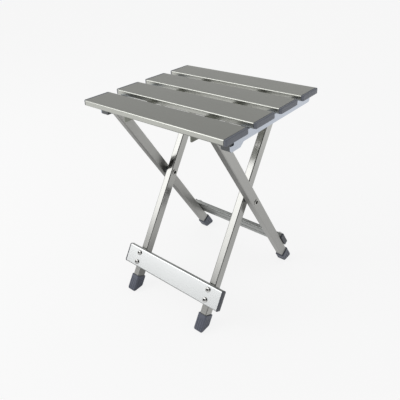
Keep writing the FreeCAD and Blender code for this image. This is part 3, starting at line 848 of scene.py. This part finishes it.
@dataclass
class FootSleeves:
    """The moulded sleeves over the lower ends of one pair of legs. Sizes are in millimetres.

    Attributes:
        pair: Legs that wear them.
        stance: How the legs stand.
        length: Length along the leg's axis.
        half_width: Half of the width along X.
        half_depth: Half of the depth.
        edge: Radius of the long edges and along the sides of the sole.
        toe: Radius of the toe.
        heel: Radius of the heel.
        rim: Width of the rim at the top.
        rim_edge: Radius round the rim.
        rim_depth: Depth of the sunk top inside the rim.
        grooves: Places of the grooves on each side, as shares of its half.
        groove: Width and depth of a groove.
        collar: Smooth collar above the grooves.
        band: Smooth band between the grooves and the sole.
    """

    pair: LegPair
    stance: Stance
    length: float = 30.0
    half_width: float = 9.7
    half_depth: float = 12.2
    edge: float = 2.8
    toe: float = 5.1
    heel: float = 5.0
    rim: float = 2.0
    rim_edge: float = 0.4
    rim_depth: float = 0.8
    grooves: tuple[float, ...] = (-0.5, 0.0, 0.5)
    groove: tuple[float, float] = (1.4, 0.5)
    collar: float = 7.0
    band: float = 2.5

    def build(self) -> None:
        """Build and dress both sleeves."""
        model = self.model()
        for side in Side:
            node = f"{self.pair.word}_leg_foot_{side.word}"
            piece = model.copy(f"{node}_sleeve")
            x = side.value * self.stance.leg_x(self.pair)
            piece.place(self.stance.turn(self.pair), self.stance.spot(self.pair, x, 0.0, 0.0))
            piece.coat(FOOT_PLASTIC).dress(self.pair.body, "foot_plastic", node)
        bpy.data.objects.remove(model.obj)

    def model(self) -> Workpiece:
        """Shape one sleeve in the upright frame, with its sole cut level.

        Returns:
            The workpiece, to be copied.
        """
        lean = math.radians(self.stance.turn(self.pair))
        level = Vector((0, math.sin(lean), math.cos(lean)))
        ground = -self.stance.below * MM * UP
        top = self.length - self.stance.below
        low = Vector((-self.half_width, -self.half_depth, top - 2 * self.length)) * MM
        high = Vector((self.half_width, self.half_depth, top)) * MM
        piece = Workpiece.block("foot_model", low, high)
        piece.cut(ground, level, drop=True)
        sharp = math.radians(QUARTER_TURN - self.stance.lean)
        for end, radius, angle in ((1, self.toe, sharp), (-1, self.heel, math.pi - sharp)):
            piece.edges(
                lambda middle, along: abs((middle - ground).dot(level)) < ON_PLANE
                and abs(along.x) > ALONG and middle.y * end * self.pair.value > 0)
            piece.bevel(radius / math.tan(angle / 2), segments=7)
        near_top = top * MM - ON_PLANE
        piece.weighted_bevel(
            lambda middle, along: float(abs(along.x) < PARTLY_ALONG and middle.z < near_top),
            self.edge, segments=5)
        piece.edges(lambda middle, along: middle.z > near_top).bevel(self.rim_edge, segments=2)
        piece.faces(lambda centre, normal: normal.z > STRAIGHT and centre.z > near_top)
        piece.inset(self.rim - self.rim_edge).extrude(-self.rim_depth * MM * UP)
        self.cut_grooves(piece, ground + self.band * MM * level, level, (top - self.collar) * MM)
        return piece.smooth()

    def cut_grooves(self, piece: Workpiece, floor: Vector, level: Vector, ceiling: float) -> None:
        """Sink the grooves into the four sides.

        Args:
            piece: Sleeve in the making.
            floor: Point on the plane where the grooves end below.
            level: Normal of that plane.
            ceiling: Height where the grooves end above, in metres.
        """
        width, depth = self.groove
        piece.cut(floor, level)
        piece.cut(ceiling * UP, UP)
        for axis, half in ((0, self.half_width), (1, self.half_depth)):
            across = Vector((1 - axis, axis, 0))
            places = [share * half for share in self.grooves]
            for place in places:
                for offset in (-width / 2, width / 2):
                    piece.cut((place + offset) * MM * across, across)
            for sign in (-1, 1):
                outward = sign * Vector((axis, 1 - axis, 0))
                piece.faces(
                    lambda centre, normal: normal.dot(outward) > STRAIGHT
                    and centre.z < ceiling
                    and (centre - floor).dot(level) > 0
                    and min(abs(centre[axis] / MM - place) for place in places) < width / 2)
                piece.extrude(-depth * MM * outward)


# Pivots

@dataclass
class PivotRivets:
    """The hollow rivets of the cross pivots. Sizes are in millimetres.

    Attributes:
        rim_radius: Radius of a rolled rim.
        rim_height: Height of a rim.
        rim_edge: Radius round a rim.
        shank_radius: Radius of the shank.
        bore_radius: Radius of the bore.
        bore_lip: Width of the lip round the bore.
        bore_depth: Depth to which the bore is modelled from each end.
    """

    rim_radius: float = 5.8
    rim_height: float = 1.2
    rim_edge: float = 0.55
    shank_radius: float = 4.5
    bore_radius: float = 3.6
    bore_lip: float = 0.4
    bore_depth: float = 12.0

    def build(self) -> None:
        """Build and dress the rivets on both sides."""
        for side in Side:
            node = f"cross_pivot_pin_{side.word}"
            self.rivet(node, side).dress(LegPair.OUTER.body, "pivot_steel", node)

    def rivet(self, node: str, side: Side) -> Workpiece:
        """Build one rivet along X: a rolled rim with its bore, a shank and the rim at the tail.

        Args:
            node: Solid that it replaces.
            side: Side of the stool.

        Returns:
            The workpiece.
        """
        low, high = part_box(node)
        axis = Vector((side.value, 0, 0))
        tail, head = sorted((low.x * side.value, high.x * side.value))
        centre = Vector((0, (low.y + high.y) / 2, (low.z + high.z) / 2))
        rim = self.rim_height * MM
        piece = Workpiece.drum(
            f"{node}_rivet", self.rim_radius, centre + (head - rim) * axis, centre + head * axis, sides=48)
        piece.faces(lambda middle, normal: normal.dot(axis) < -ALONG)
        piece.inset(self.rim_radius - self.shank_radius)
        piece.extrude((tail + 2 * rim - head) * axis)
        piece.extrude(Vector()).resize(self.rim_radius / self.shank_radius, centre + (tail + rim) * axis)
        piece.extrude(-rim * axis)
        for place, sign in ((head, 1), (tail, -1)):
            piece.edges(lambda middle, along: abs(middle.dot(axis) - place) < ON_PLANE)
            piece.bevel(self.rim_edge, segments=4)
            piece.faces(
                lambda middle, normal: normal.dot(axis) * sign > STRAIGHT
                and abs(middle.dot(axis) - place) < ON_PLANE)
            piece.inset(self.rim_radius - self.rim_edge - self.bore_radius - self.bore_lip)
            piece.inset(self.bore_lip).extrude(-sign * self.bore_depth * MM * axis)
        # The bore takes the near-black painted shade.
        inside = (self.bore_radius + BORE_MARGIN) * MM
        piece.faces(
            lambda middle, normal: (middle - centre - middle.dot(axis) * axis).length < inside
            and tail < middle.dot(axis) < head)
        return piece.coat(PIVOT_ZINC, PAINTED_SHADE_BORE).smooth()


# Solids that stay as they are

@dataclass
class CarriedNodes:
    """Finishes of the solids that are shown as they are.

    Attributes:
        finishes: Start of a solid's name and its finish.
    """

    finishes: dict[str, Finish] = field(default_factory=lambda: {
        "outer_leg_top_plug": BUSH_PLASTIC,
        "inner_leg_top_plug": BUSH_PLASTIC,
        "outer_leg": OUTER_LEG_ALUMINIUM,
        "inner_leg": INNER_LEG_ALUMINIUM,
        "outer_rail": RAIL_ALUMINIUM,
        # The inner rails take the darker colour, painted shade of the seat above them.
        "inner_rail": GUIDE_PAINTED_SHADE_ALUMINIUM,
        "slat_rivets": PIVOT_ZINC,
        "seat_pivot_bush": BUSH_PLASTIC,
        "seat_pivot_pin": PIVOT_ZINC,
        "cross_pivot_spacer": BUSH_PLASTIC,
        "slide_bush": BUSH_PLASTIC,
        "slide_pin": PIVOT_ZINC,
    })

    def dress(self) -> None:
        """Give every solid that still shows its finish."""
        for name, node in frame["nodes"].items():
            if node.hide_render:
                continue
            finish = next(value for start, value in self.finishes.items() if name.startswith(start))
            node.data.materials.clear()
            node.data.materials.append(finish.material())
            LOG.info("%s keeps its shape and takes %s", name, finish.name)


# Studio

class Nearness(Enum):
    """How near a ray is to the middle of a patch: by a cosine in the room, by metres on the floor."""

    IN_ROOM = "DOT_PRODUCT"
    ON_FLOOR = "DISTANCE"


@dataclass(frozen=True)
class MirroredPatch:
    """A part of the room or the floor with a soft edge, as shiny pieces mirror it.

    Attributes:
        nearness: How the distance from its middle is measured.
        middle: Unit direction of its middle in the room, or its place on the floor in metres.
        rim: Nearness at which the patch begins.
        core: Nearness at which it is whole.
        around: Level outside the patch.
        inside: Level in its core.
    """

    nearness: Nearness
    middle: tuple[float, float, float]
    rim: float
    core: float
    around: float
    inside: float

    def level(self, tree: bpy.types.NodeTree, ray: bpy.types.NodeSocket) -> bpy.types.NodeSocket:
        """Add the nodes that give the patch's level for a direction in the room or a place on the floor."""
        near = add_node(
            tree, "ShaderNodeVectorMath", {1: self.middle}, {0: ray}, operation=self.nearness.value)
        return add_node(
            tree, "ShaderNodeMapRange",
            {"From Min": self.rim, "From Max": self.core, "To Min": self.around, "To Max": self.inside},
            {"Value": near.outputs["Value"]}, interpolation_type="SMOOTHSTEP").outputs["Result"]


@dataclass
class Studio:
    """Pale floor, even surroundings and one soft box.

    Attributes:
        pale: Colour of the floor and the surroundings where they are seen.
        fill: Grey of the surroundings as they light the object.
        floor_reach: Half of the floor's side in metres.
        seen_plain: Share of the floor that shows its plain colour to the camera, the rest keeps the shadow.
        seen_level: Brightness of that share.
        shade: Share of the mirrored floor's brightness that is left in the object's shade.
        pool: Brightness that the soft box adds to the mirrored floor in front of it.
        floor_levels: Brightness of the mirrored floor next to the object and further away.
        floor_reaches: Distances from the object's middle of these two levels in metres.
        ceiling: Brightness of the mirrored ceiling, where the mirrored walls have one.
        ceiling_rise: Rise of a unit direction at which the ceiling begins.
        unlit_side: Share of the brightness that is left at the room's unlit side.
        sheet: Brightness that a pale sheet overhead adds.
        window: Brightness that the soft box adds where shiny pieces mirror it.
        sill: Share of the soft box that is left above its lower edge.
        rear_window: Brightness that a pale opening behind the object adds.
        box_place: Place of the soft box in metres.
        box_aim: Point that the soft box faces in metres.
        box_size: Width and height of the soft box in metres.
        box_power: Power of the soft box in watts.
    """

    pale: str = "#f6f6f6"
    fill: float = 0.7
    floor_reach: float = 20.0
    seen_plain: float = 0.85
    seen_level: float = 1.065
    shade: MirroredPatch = MirroredPatch(Nearness.ON_FLOOR, (-0.19, -0.155, 0.0), 0.33, 0.15, 1.0, 0.45)
    pool: MirroredPatch = MirroredPatch(Nearness.ON_FLOOR, (-0.65, -0.8, 0.0), 0.5, 0.15, 0.0, 0.15)
    floor_levels: tuple[float, float] = (0.92, 1.3)
    floor_reaches: tuple[float, float] = (0.3, 1.1)
    ceiling: float = 0.45
    ceiling_rise: float = 0.45
    unlit_side: MirroredPatch = MirroredPatch(Nearness.IN_ROOM, (0.9, -0.4, 0.17), 0.45, 0.75, 1.0, 0.05)
    sheet: MirroredPatch = MirroredPatch(Nearness.IN_ROOM, (-0.299, -0.419, 0.857), 0.74, 0.94, 0.0, 0.6)
    window: MirroredPatch = MirroredPatch(Nearness.IN_ROOM, (-0.612, -0.652, 0.448), 0.9, 0.985, 0.0, 2.2)
    sill: MirroredPatch = MirroredPatch(Nearness.IN_ROOM, (0.0, 0.0, 1.0), 0.215, 0.275, 0.0, 1.0)
    rear_window: MirroredPatch = MirroredPatch(Nearness.IN_ROOM, (0.0, 0.72, 0.694), 0.92, 0.985, 0.0, 0.5)
    box_place: tuple[float, float, float] = (-1.38, -1.47, 1.21)
    box_aim: tuple[float, float, float] = (0.0, 0.0, 0.2)
    box_size: tuple[float, float] = (1.3, 1.6)
    box_power: float = 16.5

    def build(self) -> None:
        """Build the floor, the surroundings and the lamp."""
        bpy.context.scene.view_settings.view_transform = "Standard"
        self.floor()
        self.surroundings()
        self.soft_box()

    def floor(self) -> None:
        """Lay the floor, which is plain to the eye with a faint shadow, and uneven where it is mirrored."""
        bpy.ops.object.select_all(action="DESELECT")
        bpy.ops.mesh.primitive_plane_add(size=2 * self.floor_reach)
        ground = bpy.context.active_object
        ground.name = "studio_floor"
        made = bpy.data.materials.new("pale_paper_floor")
        made.use_nodes = True
        tree = made.node_tree
        tree.nodes.clear()
        path = add_node(tree, "ShaderNodeLightPath")
        share = add_node(
            tree, "ShaderNodeMath", {1: self.seen_plain},
            {0: path.outputs["Is Camera Ray"], 2: path.outputs["Is Glossy Ray"]}, operation="MULTIPLY_ADD")
        spot = add_node(tree, "ShaderNodeTexCoord").outputs["Object"]
        reach = add_node(tree, "ShaderNodeVectorMath", links={0: spot}, operation="LENGTH")
        glow = add_node(
            tree, "ShaderNodeMapRange",
            {"From Min": self.floor_reaches[0], "From Max": self.floor_reaches[1],
             "To Min": self.floor_levels[0], "To Max": self.floor_levels[1]},
            {"Value": reach.outputs["Value"]})
        shade, pool = self.shade.level(tree, spot), self.pool.level(tree, spot)
        mirrored = add_node(
            tree, "ShaderNodeMath", links={0: glow.outputs["Result"], 1: shade, 2: pool},
            operation="MULTIPLY_ADD")
        level = add_node(
            tree, "ShaderNodeMix", {"A": self.seen_level},
            {"Factor": path.outputs["Is Glossy Ray"], "B": mirrored.outputs[0]}, data_type="FLOAT")
        paper = add_node(tree, "ShaderNodeBsdfDiffuse", {"Color": linear(self.pale)})
        plain = add_node(
            tree, "ShaderNodeEmission", {"Color": linear(self.pale)}, {"Strength": level.outputs["Result"]})
        mixed = add_node(
            tree, "ShaderNodeMixShader",
            links={0: share.outputs[0], 1: paper.outputs["BSDF"], 2: plain.outputs["Emission"]})
        add_node(tree, "ShaderNodeOutputMaterial", links={"Surface": mixed.outputs["Shader"]})
        ground.data.materials.append(made)

    def surroundings(self) -> None:
        """Light the object evenly, and show shiny pieces pale walls, a dim ceiling and the room's patches."""
        world = bpy.data.worlds.new("even_studio")
        bpy.context.scene.world = world
        world.use_nodes = True
        tree = world.node_tree
        tree.nodes.clear()
        path = add_node(tree, "ShaderNodeLightPath")
        towards = add_node(tree, "ShaderNodeTexCoord").outputs["Generated"]
        height = add_node(tree, "ShaderNodeSeparateXYZ", links={0: towards}).outputs["Z"]
        walls = add_node(
            tree, "ShaderNodeMapRange",
            {"From Min": 0.0, "From Max": self.ceiling_rise, "To Min": 1.0, "To Max": self.ceiling},
            {"Value": height}, interpolation_type="SMOOTHSTEP")
        unlit = self.unlit_side.level(tree, towards)
        room = add_node(
            tree, "ShaderNodeMath", links={0: walls.outputs["Result"], 1: unlit}, operation="MULTIPLY")
        window, sill = self.window.level(tree, towards), self.sill.level(tree, towards)
        room = add_node(
            tree, "ShaderNodeMath", links={0: window, 1: sill, 2: room.outputs[0]}, operation="MULTIPLY_ADD")
        for patch in (self.sheet, self.rear_window):
            level = patch.level(tree, towards)
            room = add_node(tree, "ShaderNodeMath", links={0: room.outputs[0], 1: level}, operation="ADD")
        lit = add_node(
            tree, "ShaderNodeMix", {"A": self.fill},
            {"Factor": path.outputs["Is Glossy Ray"], "B": room.outputs[0]}, data_type="FLOAT")
        shown = add_node(
            tree, "ShaderNodeMix", {"B": 1.0},
            {"Factor": path.outputs["Is Camera Ray"], "A": lit.outputs["Result"]}, data_type="FLOAT")
        backdrop = add_node(
            tree, "ShaderNodeBackground", {"Color": linear(self.pale)}, {"Strength": shown.outputs["Result"]})
        add_node(tree, "ShaderNodeOutputWorld", links={"Surface": backdrop.outputs["Background"]})

    def soft_box(self) -> None:
        """Hang the soft box, which shiny pieces mirror only as the window of the surroundings."""
        lamp = bpy.data.lights.new("key_box", "AREA")
        lamp.shape = "RECTANGLE"
        lamp.size, lamp.size_y = self.box_size
        lamp.energy = self.box_power
        holder = bpy.data.objects.new("key_box", lamp)
        bpy.context.scene.collection.objects.link(holder)
        holder.location = self.box_place
        holder.visible_glossy = False
        ahead = Vector(self.box_aim) - Vector(self.box_place)
        holder.rotation_euler = ahead.to_track_quat("-Z", "Y").to_euler()


@dataclass
class PhotoCamera:
    """Camera at the photograph's viewing angle.

    Attributes:
        where: Place in metres.
        azimuth: Angle about Z in degrees, zero looks along +Y.
        elevation: Angle of the view below level in degrees.
        roll: Turn about the view axis in degrees.
        lens: Focal length in millimetres.
        sensor: Width of the sensor in millimetres.
        shift: Sideways and upward shift of the lens.
        clip: Nearest and furthest distance that is seen in metres.
    """

    where: tuple[float, float, float] = (0.4861, -0.5869, 0.6619)
    azimuth: float = 39.64
    elevation: float = 27.25
    roll: float = -2.19
    lens: float = 38.823
    sensor: float = 36.0
    shift: tuple[float, float] = (-0.0117, -0.0907)
    clip: tuple[float, float] = (0.01, 200.0)

    def build(self) -> None:
        """Make the camera and set it as the scene's."""
        data = bpy.data.cameras.new("photo_camera")
        data.sensor_width = self.sensor
        data.lens = self.lens
        data.shift_x, data.shift_y = self.shift
        data.clip_start, data.clip_end = self.clip
        camera = bpy.data.objects.new("photo_camera", data)
        bpy.context.scene.collection.objects.link(camera)
        turn, drop = math.radians(self.azimuth), math.radians(self.elevation)
        ahead = Vector((-math.sin(turn) * math.cos(drop), math.cos(turn) * math.cos(drop), -math.sin(drop)))
        level = ahead.to_track_quat("-Z", "Y")
        camera.location = self.where
        camera.rotation_euler = (level @ Quaternion((0, 0, 1), math.radians(self.roll))).to_euler()
        bpy.context.scene.camera = camera


def main() -> None:
    """Build the stool's pieces, dress the solids that stay, and set up the studio and the camera."""
    logging.basicConfig(level=logging.INFO, format="%(message)s")
    stance = Stance.from_joints(frame["joints"])
    SeatSlats().build()
    for pair in LegPair:
        Crossbar(pair, stance).build()
        FootSleeves(pair, stance).build()
    PivotRivets().build()
    CarriedNodes().dress()
    Studio().build()
    PhotoCamera().build()


if __name__ == "__main__":
    main()
